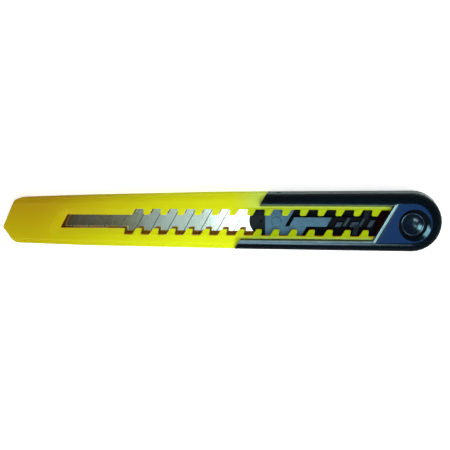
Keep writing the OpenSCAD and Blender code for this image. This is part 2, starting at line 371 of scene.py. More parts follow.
class Nodes:
    """Short calls for building a material's node tree."""

    def __init__(self, name):
        self.material = bpy.data.materials.new(name)
        self.material.use_nodes = True
        self.tree = self.material.node_tree
        self.shader = self.tree.nodes["Principled BSDF"]
        self.place = self.tree.nodes.new("ShaderNodeTexCoord").outputs["Object"]

    def set(self, **values):
        """Sets the shader's own sockets: Specular_IOR_Level=0.1 and the like."""
        for name, value in values.items():
            self.shader.inputs[name.replace("_", " ")].default_value = value

    def link(self, output, name):
        self.tree.links.new(output, self.shader.inputs[name])

    def node(self, kind, inputs=None, **settings):
        made = self.tree.nodes.new(kind)
        for name, value in settings.items():
            setattr(made, name, value)
        for name, value in (inputs or {}).items():
            if isinstance(value, bpy.types.NodeSocket):
                self.tree.links.new(value, made.inputs[name])
            else:
                made.inputs[name].default_value = value
        return made

    def stretched(self, scale):
        return self.node("ShaderNodeMapping", {"Vector": self.place, "Scale": scale}).outputs[0]

    def noise(self, scale, detail=3.0, roughness=0.5, place=None):
        return self.node("ShaderNodeTexNoise", {
            "Vector": place or self.place, "Scale": scale, "Detail": detail,
            "Roughness": roughness}).outputs["Fac"]

    def ranged(self, value, low, high, to_low, to_high, smooth=False):
        return self.node("ShaderNodeMapRange", {
            "Value": value, "From Min": low, "From Max": high, "To Min": to_low,
            "To Max": to_high},
            interpolation_type="SMOOTHSTEP" if smooth else "LINEAR").outputs[0]

    def axis(self, name):
        return self.node("ShaderNodeSeparateXYZ", {"Vector": self.place}).outputs[name]

    def maths(self, operation, a, b):
        return self.node("ShaderNodeMath", {0: a, 1: b}, operation=operation).outputs[0]

    def ramp(self, value, stops):
        made = self.node("ShaderNodeValToRGB", {"Fac": value})
        elements = made.color_ramp.elements
        while len(elements) < len(stops):
            elements.new(0.5)
        for element, (place, colour) in zip(elements, stops):
            element.position = place
            element.color = (*colour, 1)
        return made.outputs["Color"]

    def mix(self, factor, a, b):
        made = self.node("ShaderNodeMix", data_type="RGBA", blend_type="MIX")
        sockets = {"Factor": 0, "A": 6, "B": 7}
        for name, value in (("Factor", factor), ("A", a), ("B", b)):
            socket = made.inputs[sockets[name]]
            if isinstance(value, bpy.types.NodeSocket):
                self.tree.links.new(value, socket)
            else:
                socket.default_value = value if name == "Factor" else (*value, 1)
        return made.outputs[2]

    def mottle(self, scale, detail, dark, light):
        """Colour that wanders between dark and light."""
        return self.ramp(self.noise(scale, detail), [(0.3, dark), (0.7, light)])

    def wander(self, scale, detail, low, high, start=0.3, roughness=0.5):
        """Number that wanders between low and high."""
        return self.ranged(self.noise(scale, detail, roughness), start, 0.7, low, high)

    def bump(self, height, distance, strength):
        made = self.node("ShaderNodeBump", {"Height": height, "Distance": distance,
                                            "Strength": strength})
        self.link(made.outputs[0], "Normal")


def yellow_plastic():
    """Glossy yellow plastic with painted light and shade: deep amber at the nose, lighter and greener
    towards the grips, darker towards the upper side, and between the grips darker teeth beside a
    lighter, greener strip."""
    m = Nodes("yellow_plastic")
    # Painted light and shade: from dark amber at the nose to bright lime towards the grips, and darker
    # towards the upper side.
    painted_shading_along = m.ranged(m.axis("X"), -0.062, 0.004, 0.0, 0.8, smooth=True)
    painted_shading_across = m.ranged(m.axis("Y"), 0.0080, -0.0080, -0.10, 0.30)
    cloud = m.wander(60, 4, -0.03, 0.03)
    place = m.maths("ADD", m.maths("ADD", painted_shading_along, painted_shading_across), cloud)
    colour = m.ramp(place, [
        (0.0, (0.42, 0.27, 0.002)),
        (0.35, (0.54, 0.49, 0.002)),
        (0.65, (0.64, 0.68, 0.004)),
        (1.0, (0.76, 0.88, 0.008)),
    ])
    # Painted light and shade between the grips: the teeth darker, the strip beside the grips lighter
    # and greener.
    between_grips = m.ranged(m.axis("X"), 0.004, 0.014, 0.0, 1.0, smooth=True)
    from_middle = m.maths("ABSOLUTE", m.axis("Y"), 0.0)
    rim = m.ranged(from_middle, 0.0041, 0.0044, 0.0, 1.0)
    painted_strip_light = m.mix(rim, (0.40, 0.55, 0.003), (0.56, 0.74, 0.09))
    m.link(m.mix(between_grips, colour, painted_strip_light), "Base Color")
    m.link(m.wander(900, 5, 0.26, 0.36), "Roughness")
    m.set(Subsurface_Weight=0.25, Subsurface_Scale=0.0012, Specular_IOR_Level=0.1)
    m.set(Subsurface_Radius=(1.0, 0.8, 0.1))
    m.set(Specular_Tint=(0.9, 0.95, 0.2, 1))
    m.bump(m.noise(1400, 3), 0.00001, 0.25)
    return m.material


def shade_and_glow_plastic(name, low, high, painted_glow):
    """The case's plastic in the depth of the window, with painted shade and painted light: darker and
    browner towards the cavity's floor, where shade falls and light comes through the plastic. low and
    high are its colours at the floor of the cavity and at the front face, and the last argument is a
    painted glow, an emission standing in for the light that comes through it."""
    m = Nodes(name)
    # Painted shade: darker towards the cavity's floor.
    deep = m.ranged(m.axis("Z"), 0.0040, 0.0084, 0.0, 1.0)
    cloud = m.wander(300, 3, -0.05, 0.05)
    m.link(m.ramp(m.maths("ADD", deep, cloud), [(0.0, low), (1.0, high)]), "Base Color")
    m.link(m.wander(900, 4, 0.4, 0.55), "Roughness")
    # The emission is painted light, a glow standing in for light through the plastic.
    m.set(Specular_IOR_Level=0.02, Emission_Strength=1.0)
    m.set(Emission_Color=(*painted_glow, 1))
    m.bump(m.noise(1400, 3), 0.00001, 0.3)
    return m.material


def grip_plastic():
    """Polished blue-black plastic with the faintest moulding ripple."""
    m = Nodes("grip_plastic")
    m.link(m.mottle(45, 3, (0.0008, 0.0025, 0.005), (0.0012, 0.004, 0.009)), "Base Color")
    m.link(m.wander(700, 6, 0.14, 0.22, 0.35, 0.6), "Roughness")
    m.set(IOR=1.36, Sheen_Weight=0.6, Sheen_Roughness=0.3)
    m.set(Sheen_Tint=(0.8, 1.0, 1.0, 1))
    m.set(Specular_Tint=(0.60, 0.85, 1.0, 1))
    m.bump(m.noise(160, 2), 0.00004, 0.3)
    return m.material


def recess_shade_plastic():
    """The grips' plastic in the recess round the rivet, rough and with a faint reflection, as painted
    shade in the recess.
    """
    m = Nodes("recess_shade_plastic")
    m.link(m.mottle(300, 3, (0.001, 0.003, 0.005), (0.003, 0.006, 0.009)), "Base Color")
    # Painted shade: rough, with its reflection turned low.
    m.link(m.wander(900, 4, 0.45, 0.6), "Roughness")
    m.set(Specular_IOR_Level=0.06)
    return m.material


def bevel_highlight_plastic():
    """The grips' plastic on the narrow bevel round the window, lighter and duller: a painted highlight
    line round the window.
    """
    m = Nodes("bevel_highlight_plastic")
    # Painted highlight: light blue-grey, far above the grip's near-black.
    m.link(m.mottle(300, 3, (0.14, 0.28, 0.34), (0.20, 0.38, 0.45)), "Base Color")
    m.link(m.wander(900, 4, 0.25, 0.35), "Roughness")
    m.bump(m.noise(1500, 2), 0.00001, 0.3)
    return m.material


def rivet_plastic():
    """Polished black plastic of the rivet's two heads."""
    m = Nodes("rivet_plastic")
    m.link(m.mottle(80, 3, (0.002, 0.006, 0.014), (0.004, 0.010, 0.020)), "Base Color")
    m.link(m.wander(900, 5, 0.20, 0.28, 0.35), "Roughness")
    m.set(IOR=1.4)
    m.set(Specular_Tint=(0.65, 0.9, 1.0, 1))
    m.bump(m.noise(400, 3), 0.00003, 0.25)
    return m.material


def blade_steel():
    """Ground steel: fine grain across the blade, over a near-mirror."""
    m = Nodes("blade_steel")
    grain = m.noise(1.0, 4, 0.6, m.stretched((9000, 500, 500)))
    tone = m.noise(70, 3)
    m.link(m.mix(m.ranged(grain, 0.3, 0.7, 0.0, 1.0), (0.62, 0.66, 0.64), (0.78, 0.80, 0.77)),
           "Base Color")
    m.link(m.ranged(m.maths("ADD", grain, tone), 0.7, 1.3, 0.08, 0.12), "Roughness")
    m.set(Metallic=1.0)
    m.bump(grain, 0.000004, 0.35)
    return m.material


def score_shade_steel():
    """Dull steel in the pressed score lines, coloured dark as painted shade in the grooves."""
    m = Nodes("score_shade_steel")
    # Painted shade: dark steel in the grooves.
    m.link(m.mottle(800, 3, (0.05, 0.05, 0.045), (0.09, 0.09, 0.08)), "Base Color")
    m.link(m.wander(1500, 3, 0.5, 0.7), "Roughness")
    m.set(Metallic=0.6)
    return m.material


def slate_plastic(name, painted_shade_below):
    """Satin blue-grey plastic with painted shade: what lies deeper than its second argument, in metres,
    is nearly black, and the tail is painted darker than the rest."""
    m = Nodes(name)
    cloud = m.noise(500, 4)
    light = m.ramp(cloud, [(0.3, (0.036, 0.120, 0.185)), (0.7, (0.056, 0.160, 0.235))])
    dark = m.ramp(cloud, [(0.3, (0.008, 0.022, 0.034)), (0.7, (0.016, 0.036, 0.052))])
    # Painted shade: the tail darker, and the deep parts nearly black.
    painted_shading_along = m.ranged(m.axis("X"), 0.032, 0.036, 0.0, 1.0)
    depth = m.ranged(m.axis("Z"), painted_shade_below - 0.0001, painted_shade_below + 0.0001, 0.0, 1.0)
    m.link(m.mix(depth, (0.004, 0.005, 0.006), m.mix(painted_shading_along, light, dark)), "Base Color")
    m.link(m.wander(1500, 5, 0.32, 0.5), "Roughness")
    m.link(m.ranged(depth, 0.0, 1.0, 0.03, 0.2), "Specular IOR Level")
    m.bump(m.noise(2200, 3), 0.00001, 0.5)
    return m.material


def slider_plastic():
    """Satin black plastic of the carrier and the thumb button."""
    m = Nodes("slider_plastic")
    m.link(m.mottle(300, 4, (0.010, 0.012, 0.014), (0.020, 0.022, 0.025)), "Base Color")
    m.link(m.wander(1800, 4, 0.38, 0.55), "Roughness")
    m.bump(m.noise(2600, 3), 0.00001, 0.6)
    return m.material


def nose_shade_and_lug_plastic():
    """Darker, smoother plastic of the clip's half-round nose, where the darkness is painted shade; the
    lock arm's lugs are made of it too.
    """
    m = Nodes("nose_shade_and_lug_plastic")
    # Near-black: painted shade on the nose.
    m.link(m.mottle(400, 4, (0.002, 0.004, 0.005), (0.004, 0.007, 0.009)), "Base Color")
    m.link(m.wander(1500, 4, 0.35, 0.5), "Roughness")
    m.set(Specular_IOR_Level=0.08)
    m.bump(m.noise(2600, 3), 0.00001, 0.5)
    return m.material


# ---------------------------------------------------------------- case

case_corners = [
    (tip_x, TIP_Y, 0.35),
    (NOSE_BOTTOM_X, -NOSE_LOW, 2.4),
    (WAIST_X, -WAIST_LOW, 60),
    (0, -MIDDLE_HALF, 60),
    (CASE_REAR, -half_at(CASE_REAR), 0.1),
    (CASE_REAR, half_at(CASE_REAR), 0.1),
    (0, MIDDLE_HALF, 60),
    (WAIST_X, WAIST_HIGH, 60),
    (NOSE_TOP_X, NOSE_HIGH, 1.0),
]
case_shares = [TIP_ROUND, 1, 1, 1, 0.1, 1, 1, 1, TIP_ROUND]


def grip_seat():
    """Strips along both sides, from the slanted edge to the rear, that the grips take up."""
    front, rear = half_at(GRIP_FRONT_X) - GRIP_SKIN, half_at(CASE_REAR) - GRIP_SKIN
    start, end = GRIP_FRONT_X - SEAT_GAP, CASE_REAR + 3
    upper = polygon((slant_x(start, front), front), (end, rear), (end, CLEAR),
                    (slant_x(start, CLEAR), CLEAR))
    lower = polygon((slant_x(start, -CLEAR), -CLEAR), (end, -CLEAR), (end, -rear),
                    (slant_x(start, -front), -front))
    return [prism("seat", upper, BELOW, ABOVE), prism("seat", lower, BELOW, ABOVE)]


def rack_corners():
    """Corners of the toothed window: the plain slot, then 15 notches on each side."""
    tip, floor = 0.38, 0.3
    rear = GRIP_WINDOW_X + 0.8
    corners = [(slant_x(SLOT_FRONT_X, SLOT_LOW), SLOT_LOW, 0.25)]
    for i in range(RACK_COUNT):
        x = RACK_X - RACK_SHIFT + i * RACK_PITCH
        corners += [(x + LEAN_NEAR, SLOT_LOW, tip), (x, NOTCH_LOW, floor),
                    (x + NOTCH_WIDTH, NOTCH_LOW, floor),
                    (x + NOTCH_WIDTH + LEAN_FAR, SLOT_LOW, tip)]
    corners += [(slant_x(rear, SLOT_LOW), SLOT_LOW, 0.2), (slant_x(rear, SLOT_HIGH), SLOT_HIGH, 0.2)]
    for i in reversed(range(RACK_COUNT)):
        x = RACK_X + i * RACK_PITCH
        corners += [(x + NOTCH_WIDTH - LEAN_NEAR, SLOT_HIGH, tip), (x + NOTCH_WIDTH, NOTCH_HIGH, floor),
                    (x, NOTCH_HIGH, floor), (x - LEAN_FAR, SLOT_HIGH, tip)]
    corners.append((slant_x(SLOT_FRONT_X, SLOT_HIGH), SLOT_HIGH, 0.25))
    return corners


def dish():
    """Cutter for the shallow dish in which the window lies, fading out ahead of the slot."""
    depth, reach, flat = 0.8, 4.15, 1.9     # reach and flat are across, from the dish's middle
    above = 0.02                            # how far over the face its edge lies
    middle = (SLOT_LOW + SLOT_HIGH) / 2
    fade = [SLOT_FRONT_X - 4 + 0.4 * k for k in range(14)]
    columns = [SLOT_FRONT_X - 4.6] + fade + [CASE_REAR + 1]
    edges = [reach * k / 12 for k in range(13)]
    rows = [middle - y for y in reversed(edges[1:])] + [middle + y for y in edges]
    rows = [rows[0] - 0.1] + rows + [rows[-1] + 0.1]

    def floor_at(x, y):
        near = min(max((x - fade[0]) / (fade[-1] - fade[0]), 0), 1)
        share = min(max((reach - abs(y - middle)) / (reach - flat), 0), 1)
        return case_top + above - (depth + above) * near * near * (3 - 2 * near) * share

    low = [[(slant_x(x, y), y, floor_at(x, y)) for y in rows] for x in columns]
    high = [[(slant_x(x, y), y, case_top + 2) for y in rows] for x in columns]
    return slab("dish", low, high)


def cavity_cutters():
    """The wide space inside and the thin mouth for the blade."""
    wide = box("cavity", (CAVITY_FRONT, -CAVITY_HALF, CAVITY[0]), (CAVITY_REAR, CAVITY_HALF, CAVITY[1]))
    mouth = box("mouth", (tip_x - 2, -CAVITY_HALF, blade_low.z - 0.15),
                (CAVITY_FRONT + 1, CAVITY_HALF, blade_high.z + 0.15))
    return wide, mouth


def grip_gap():
    """Cutter for the narrow dark gap between the front face and the edge of the grips."""
    depth = 0.8
    opening = slanted_corners(GRIP_FRONT_X, GRIP_WINDOW_X, GRIP_WINDOW_HALF, 0.03)
    wide = prism("gap", outline(opening, -0.4, [1, 1, 1, 0]), case_top - depth, case_top + 1)
    face = prism("face", outline(opening, GAP_WIDTH, [1, 1.4, 1, -2]), case_top - 2, case_top + 2)
    return cut(wide, face)


def build_front_case(yellow, amber, olive):
    """Front shell, with its dish and toothed window."""
    front = loft("case_front", rounded_levels(case_corners, split_z, case_top, JOIN_ROUND, CASE_ROUND,
                                              shares=case_shares))
    cut(front, *grip_seat())
    cut(front, dish())
    cut(front, *cavity_cutters())
    rack = prism("rack", outline(rack_corners(), degrees=18), CAVITY[1] - 1, case_top + 1)
    cut(front, rack, grip_gap())
    finished(front, "handle", "yellow_case", yellow, "front_case")
    # Painted shade and glow inside the window and on the ceiling that the blade mirrors.
    paint(front, amber, in_shaded_window)
    paint(front, olive, on_shaded_ceiling)


def build_rear_case(yellow, brown):
    """Rear shell, with the slot and trough of the thumb slider."""
    rear = loft("case_rear", rounded_levels(case_corners, back_low.z, split_z, BACK_ROUND, JOIN_ROUND,
                                            shares=case_shares))
    cut(rear, *grip_seat())
    low_x, high_x, half = NECK_X[0] - TRAVEL - 0.4, NECK_X[1] + 0.4, NECK_HALF + 0.1
    slot = [(low_x, -half, 0.5), (high_x, -half, 0.5), (high_x, half, 0.5), (low_x, half, 0.5)]
    cut(rear, prism("slot", outline(slot), -1, CAVITY[0] + 1))
    cut(rear, *cavity_cutters())
    start, end = GRIP_FRONT_X - SEAT_GAP, end_x + 5
    under_grip = polygon((slant_x(start, -CLEAR), -CLEAR), (end, -CLEAR), (end, CLEAR),
                         (slant_x(start, CLEAR), CLEAR))
    cut(rear, prism("under", under_grip, BELOW, TROUGH_Z))
    trough = slanted_corners(*TROUGH_X, GRIP_WINDOW_HALF, 0.6)
    # A little shallower than the cut under the grip, because faces in one plane spoil the cut
    depth = TROUGH_Z - 0.01
    cut(rear, turned_over(loft("trough", opening_levels(lambda grow: outline(trough, -grow),
                                                        -depth, 0, 0.3))))
    finished(rear, "handle", "yellow_case", yellow, "rear_case")
    # Painted shade and glow on the floor inside the window.
    paint(rear, brown, in_shaded_window)


# ---------------------------------------------------------------- grips

grip_start = GRIP_FRONT_X - 12
grip_corners = [
    (grip_start, -half_at(grip_start), 0.1),
    (end_x - 0.2, LOWER_PULL - rear_half, rear_half),
    (end_x - 0.2, rear_half + 0.02, rear_half - 0.4),
    (grip_start, half_at(grip_start), 0.1),
]


def grip_shell(name, turn_over):
    """Outer shape of a grip, with its pocket for the case and its half of the pry slot."""
    low, high = (0, split_z) if turn_over else (split_z, grip_top)
    rounds = (BACK_ROUND, JOIN_ROUND) if turn_over else (JOIN_ROUND, GRIP_ROUND)
    shell = loft(name, rounded_levels(grip_corners, low, high, *rounds, steps=12))
    far = tip_x - CLEAR
    tip_side = polygon((far, -CLEAR), (slant_x(GRIP_FRONT_X, -CLEAR), -CLEAR),
                       (slant_x(GRIP_FRONT_X, CLEAR), CLEAR), (far, CLEAR))
    cut(shell, prism("tip_side", tip_side, BELOW, ABOVE))
    front, rear = half_at(GRIP_FRONT_X) - GRIP_SKIN, half_at(CASE_REAR) - GRIP_SKIN
    pocket = polygon((slant_x(GRIP_FRONT_X - 2, -front), -front), (CASE_REAR, -rear),
                     (CASE_REAR, rear), (slant_x(GRIP_FRONT_X - 2, front), front))
    pocket_z = (TROUGH_Z, split_z + 1) if turn_over else (split_z - 1, case_top)
    cut(shell, prism("pocket", pocket, *pocket_z))
    side = half_at(PRY_X)
    pry = box("pry", (PRY_X - PRY_HALF, side - PRY_HALF, split_z - PRY_RISE),
              (PRY_X + PRY_HALF, side + PRY_HALF, split_z + PRY_RISE))
    return cut(shell, pry)


def paint(piece, material, chosen):
    """Gives another material to the faces that chosen(centre, normal) picks. The centre is in
    millimetres."""
    mesh = piece.data
    mesh.materials.append(material)
    for face in mesh.polygons:
        if chosen(face.center / MM, face.normal):
            face.material_index = len(mesh.materials) - 1


def on_highlight_bevel(centre, normal):
    """Whether a face lies on the bevel round the front grip's window, which gets the painted highlight.
    """
    near = abs(centre.y) < GRIP_WINDOW_HALF + 0.5 and centre.x < slant_x(GRIP_WINDOW_X + 0.7, centre.y)
    return near and centre.z > grip_top - 0.3 and 0.8 < normal.z < 0.985


def in_shaded_recess(centre, normal):
    """Whether a face lies on the floor or the wall of the front recess, which gets the painted shade.
    """
    return math.hypot(centre.x - RIVET_X, centre.y) < RECESS_R + 0.2 and centre.z < grip_top - 0.5


def on_shaded_score(centre, normal):
    """Whether a face of the blade is a side of a score line, which gets the painted shade."""
    return 0.3 < normal.z < 0.95


def in_shaded_window(centre, normal):
    """Whether a face of the case lies inside its window or its cavity, and so gets the painted shade
    and glow. The sides of the notches that the light reaches are left out."""
    inside = abs(centre.y) < CAVITY_HALF + 0.02 and CAVITY_FRONT - 0.1 < centre.x
    wall = abs(normal.z) < 0.3 or centre.z < case_top - 1
    lit = normal.x > 0.3 and centre.z > CAVITY[1] and centre.x > SLOT_FRONT_X + 3
    return inside and wall and not lit and TROUGH_Z + 0.05 < centre.z < case_top - 0.12


def on_shaded_ceiling(centre, normal):
    """Whether a face is the underside of the rack, which the blade mirrors; it gets painted shade and
    glow.
    """
    return normal.z < -0.5 and abs(centre.z - CAVITY[1]) < 0.1


def recess_ring(grow):
    """Outline of the recess. It opens out only to the side away from the tip and the grip's
    upper edge."""
    share = 0.5
    return ring(RIVET_X + 0.8 * share * grow, -0.6 * share * grow, RECESS_R + share * grow)


def build_front_grip(material, bevel_highlight_material, recess_shade_material):
    """Front grip, with its slanted window and the recess round the rivet."""
    front = grip_shell("grip_front", False)
    half = GRIP_WINDOW_HALF
    window = [(OPEN_X, -half, 0.2), (slant_x(GRIP_WINDOW_X, -half), -half, -0.6),
              (slant_x(GRIP_WINDOW_X, half), half, -0.6), (OPEN_X, half, 0.2)]
    bevel = [               # how far the sides and the end stand back, and where
        (-0.3, -0.3, case_top - 0.01), (0, 0, grip_top - 0.34), (0.03, 0.03, grip_top - 0.27),
        (0.1, 0.1, grip_top - 0.24), (0.46, 0.66, grip_top - 0.05), (0.5, 1.1, grip_top - 0.02),
        (0.52, 1.8, grip_top + 0.004), (0.52, 1.8, grip_top + 1),
    ]
    cut(front, loft("window", [(outline(window, -1, [side, end, side + GAP_UPPER, 0]), z)
                               for side, end, z in bevel]))
    flare = [(0, RECESS_DEPTH), (0, 0.58), (0.03, 0.51), (0.1, 0.48), (1.14, 0.02),
             (1.26, -0.004), (1.26, -1)]
    cut(front, loft("recess", [(recess_ring(grow), grip_top - depth) for grow, depth in flare]))
    finished(front, "handle", "black_grip", material, "front_grip")
    # Painted highlight on the bevel round the window.
    paint(front, bevel_highlight_material, on_highlight_bevel)
    # Painted shade in the recess round the rivet.
    paint(front, recess_shade_material, in_shaded_recess)


def build_rear_grip(material):
    """Rear grip, with the channel for the thumb button and a recess for the rivet's tail."""
    rear = grip_shell("grip_rear", True)
    half, to_x = GRIP_WINDOW_HALF, 32
    channel = [(OPEN_X, -half, 0.2), (slant_x(to_x, -half), -half, 0.6),
               (slant_x(to_x, half), half, 0.6), (OPEN_X, half, 0.2)]
    flare, recess_r = 0.3, RECESS_R - 0.3
    cut(rear, turned_over(loft("channel", opening_levels(lambda grow: outline(channel, -grow),
                                                         -TROUGH_Z - 0.5, 0, flare))))
    cut(rear, turned_over(loft("recess", opening_levels(lambda grow: ring(RIVET_X, 0, recess_r + grow),
                                                        -RECESS_DEPTH, 0, flare))))
    finished(rear, "handle", "black_grip", material, "rear_grip")


# ---------------------------------------------------------------- rivet

def lathe(name, profile, x, count=96):
    """Closed solid of revolution about the upright line at x. profile is (radius, z) from the
    lower middle to the upper middle; its first and last radius are 0."""
    bm = bmesh.new()
    low = bm.verts.new((x, 0, profile[0][1]))
    high = bm.verts.new((x, 0, profile[-1][1]))
    rings = []
    for radius, z in profile[1:-1]:
        rings.append([bm.verts.new((*point, z)) for point in ring(x, 0, radius, count)])
    for a, b in zip(rings, rings[1:]):
        for k in range(count):
            j = (k + 1) % count
            bm.faces.new((a[k], a[j], b[j], b[k]))
    for k in range(count):
        j = (k + 1) % count
        bm.faces.new((low, rings[0][j], rings[0][k]))
        bm.faces.new((high, rings[-1][k], rings[-1][j]))
    return new_object(name, bm)


def dome_profile(floor_z, top_z, radius, shoulder=0.12, steps=16):
    """Low dome standing on floor_z, with a rounded shoulder."""
    points = [(0, floor_z), (radius - 0.05, floor_z), (radius, floor_z + 0.06)]
    rise = top_z - floor_z - shoulder
    sphere = (radius ** 2 + rise ** 2) / (2 * rise)
    reach = math.asin(radius / sphere)
    for k in range(steps):
        a = reach * (1 - k / steps)
        points.append((sphere * math.sin(a), top_z - sphere + sphere * math.cos(a)))
    return points + [(0, top_z)]


def bowl_profile(floor_z, top_z, radius, bowl_half, bowl_depth, steps=14):
    """Round button standing on floor_z, with a rounded rim and a bowl in its face."""
    rim = 0.4
    points = [(0, floor_z), (radius - 0.05, floor_z), (radius, floor_z + 0.06)]
    for k in range(7):
        a = math.pi / 2 * k / 6
        points.append((radius - rim + rim * math.cos(a), top_z - rim + rim * math.sin(a)))
    sphere = (bowl_half ** 2 + bowl_depth ** 2) / (2 * bowl_depth)
    reach = math.asin(bowl_half / sphere)
    points.append((bowl_half + 0.04, top_z - 0.01))
    for k in range(steps):
        a = reach * (0.98 - k / steps)
        points.append((sphere * math.sin(a), top_z - bowl_depth + sphere * (1 - math.cos(a))))
    return points + [(0, top_z - bowl_depth)]


def build_rivet(material):
    """The rivet's head, a button with a bowl in it, and its tail, a low dome on the back."""
    profile = bowl_profile(grip_top - RECESS_DEPTH, rivet_high.z, RIVET_HEAD_R, BOWL_HALF, BOWL_DEPTH)
    head = lathe("rivet_head", profile, RIVET_X)
    finished(head, "handle", "black_rivet", material, "end_rivet", sharp=50)
    profile = [(r, -z) for r, z in reversed(dome_profile(-RECESS_DEPTH, -0.1, RIVET_HEAD_R))]
    collar = lathe("rivet_tail", profile, RIVET_X)
    bevelled(collar, 0.15, 3, 30)
    finished(collar, "handle", "black_rivet", material, "rivet_collar")


# ---------------------------------------------------------------- blade and slider

def build_blade(material, score_shade_material):
    """Snap-off blade: a slanted strip with a ground edge along -Y and scored every 5 mm."""
    half = blade_high.y
    tip = blade_low.x + half * RUN
    tail = blade_high.x - half * RUN
    pitch, scores = 5, 13
    groove, depth, grind = 0.13, 0.09, 1.5
    middle = (blade_low.z + blade_high.z) / 2
    columns = [(tip, 0)]
    for k in range(1, scores + 1):
        x = tip + pitch * k
        columns += [(x - groove, 0), (x, depth), (x + groove, 0)]
    columns += [(tail, 0)]
    rows = [(-half, True), (-half + grind, False), (half, False)]
    thin = 0.03             # half of the thickness left at the edge
    low, high = [], []
    for x, cut_depth in columns:
        low.append([(slant_x(x, y), y, middle - thin if ground else blade_low.z) for y, ground in rows])
        high.append([(slant_x(x, y), y, middle + thin if ground else blade_high.z - cut_depth)
                     for y, ground in rows])
    blade = slab("snap_blade", low, high)
    cut(blade, prism("hole", ring(POST_X, 0, POST_R + 0.06), BELOW, ABOVE))
    finished(blade, "slider", "blade_steel", material, "blade", sharp=5)
    # Painted shade in the score lines.
    paint(blade, score_shade_material, on_shaded_score)


def build_carrier(material):
    """Plate under the blade, with the post that comes up through it."""
    low, high = carrier_low, carrier_high
    plate = [(low.x, low.y, 0.6), (high.x, low.y, 0.6), (high.x, high.y, 0.6), (low.x, high.y, 0.6)]
    carrier = loft("carrier_plate", rounded_levels(plate, low.z, blade_low.z, 0.2, 0.2, steps=3))
    post = lathe("post", [(0, low.z + 0.5), (POST_R, low.z + 0.5), (POST_R, high.z - 0.14),
                          (POST_R - 0.04, high.z - 0.05), (POST_R - 0.14, high.z - 0.01),
                          (POST_R * 0.5, high.z), (0, high.z)], POST_X, 48)
    add(carrier, post)
    finished(carrier, "slider", "slider_black", material, "blade_carrier")


def build_clip(material, nose_shade_material):
    """Half-round nose and pad that lie on the blade round the post."""
    nose_r, nose_x, pad_x, pad_end, foot_end = 4.45, 14.2, 14.6, 21.2, 26.8
    arc = [Vector((nose_x + nose_r * math.cos(a), nose_r * math.sin(a)))
           for a in (math.radians(d) for d in range(90, 271, 6))]
    nose_points = arc + polygon((pad_x + 0.4, -nose_r), (pad_x + 0.4, nose_r))
    nose = bevelled(prism("clip_nose", nose_points, blade_high.z, ARM_BASE_TOP - 0.05), 0.12)
    for v in nose.data.vertices:
        if v.co.z > blade_high.z + 0.2:
            v.co.z -= 0.3 * (pad_x - v.co.x) / nose_r
    dimple = lathe("dimple", [(0, 5.55), (0.3, 5.6), (0.48, 5.8), (0.5, 6.2), (0, 6.2)], 13.4, 24)
    cut(nose, dimple)
    # The nose's darker plastic is painted shade.
    finished(nose, "slider", "slider_slate", nose_shade_material)
    pad_points = polygon((pad_x, -nose_r), (slant_x(foot_end, -3), -nose_r), (foot_end, ARM_LOW),
                         (slant_x(pad_end, ARM_LOW), ARM_LOW), (slant_x(pad_end, nose_r), nose_r),
                         (pad_x, nose_r))
    pad = bevelled(prism("clip_pad", pad_points, blade_high.z, clip_high.z), 0.12)
    bore = loft("bore", opening_levels(lambda grow: ring(POST_X, 0, POST_R + 0.05 + grow), 4,
                                       clip_high.z, 0.16, 3))
    cut(pad, bore)
    finished(pad, "slider", "slider_slate", material, "blade_clip")


def on_lug(centre, normal):
    """Whether a face of the lock arm belongs to one of its lugs."""
    return not ARM_LOW - 0.05 < centre.y < ARM_HIGH + 0.05


def build_arm(material, lug_material):
    """Slanted spring bar with a ribbed tail and the two lugs that stand in the rack."""
    start, bar_end = 22.4, 33.3
    low = blade_high.z
    arm = prism("lock_arm_bar", slanted(start, TAIL_END - 0.05, ARM_LOW, ARM_HIGH), low, ARM_BASE_TOP)
    for from_x, to_x, low_y, high_y in [(start, bar_end, ARM_LOW, ARM_HIGH)] + TAIL_BLOCKS:
        add(arm, prism("block", slanted(from_x, to_x, low_y, high_y), low + 0.1, clip_high.z))
    upper = RACK_X + TRAVEL
    lower = upper - RACK_SHIFT
    width, root = 1.5, 0.2      # root is how deep a lug reaches into the arm
    lugs = [
        polygon((upper - 0.1, ARM_HIGH - root), (upper - 0.1 + width, ARM_HIGH - root),
                (upper + 0.5 + width, arm_high.y), (upper + 0.5, arm_high.y)),
        polygon((lower + 0.6, arm_low.y), (lower + 0.6 + width, arm_low.y),
                (lower + 1.2 + width, ARM_LOW + root), (lower + 1.3, ARM_LOW + root)),
    ]
    for points in lugs:
        add(arm, prism("lug", points, low + 0.05, arm_high.z - 0.2))
    bevelled(arm, 0.1)
    finished(arm, "slider", "slider_slate", material, "lock_arm")
    paint(arm, lug_material, on_lug)


def build_button(material):
    """Ribbed thumb button on the back, with its neck in the slot."""
    half = GRIP_WINDOW_HALF - 0.35
    x0, x1 = 10 + half * RUN, 30 - half * RUN
    base = slanted_corners(x0, x1, half, 0.8)
    button = loft("thumb_button", rounded_levels(base, 0.55, TROUGH_Z - 0.1, 0.3, 0.1, steps=4))
    ribs, first, pitch, width = 7, 13.6, 2.2, 1.1
    for i in range(ribs):
        x = first + pitch * i
        rib = slanted_corners(x, x + width, half - 0.5, 0.3)
        add(button, loft("rib", rounded_levels(rib, 0.1, 0.8, 0.3, steps=4)))
    add(button, box("neck", (NECK_X[0], -NECK_HALF, 1.2), (NECK_X[1], NECK_HALF, CAVITY[0] + 0.1)))
    finished(button, "slider", "slider_black", material, "thumb_slider")


# ---------------------------------------------------------------- camera, floor and light

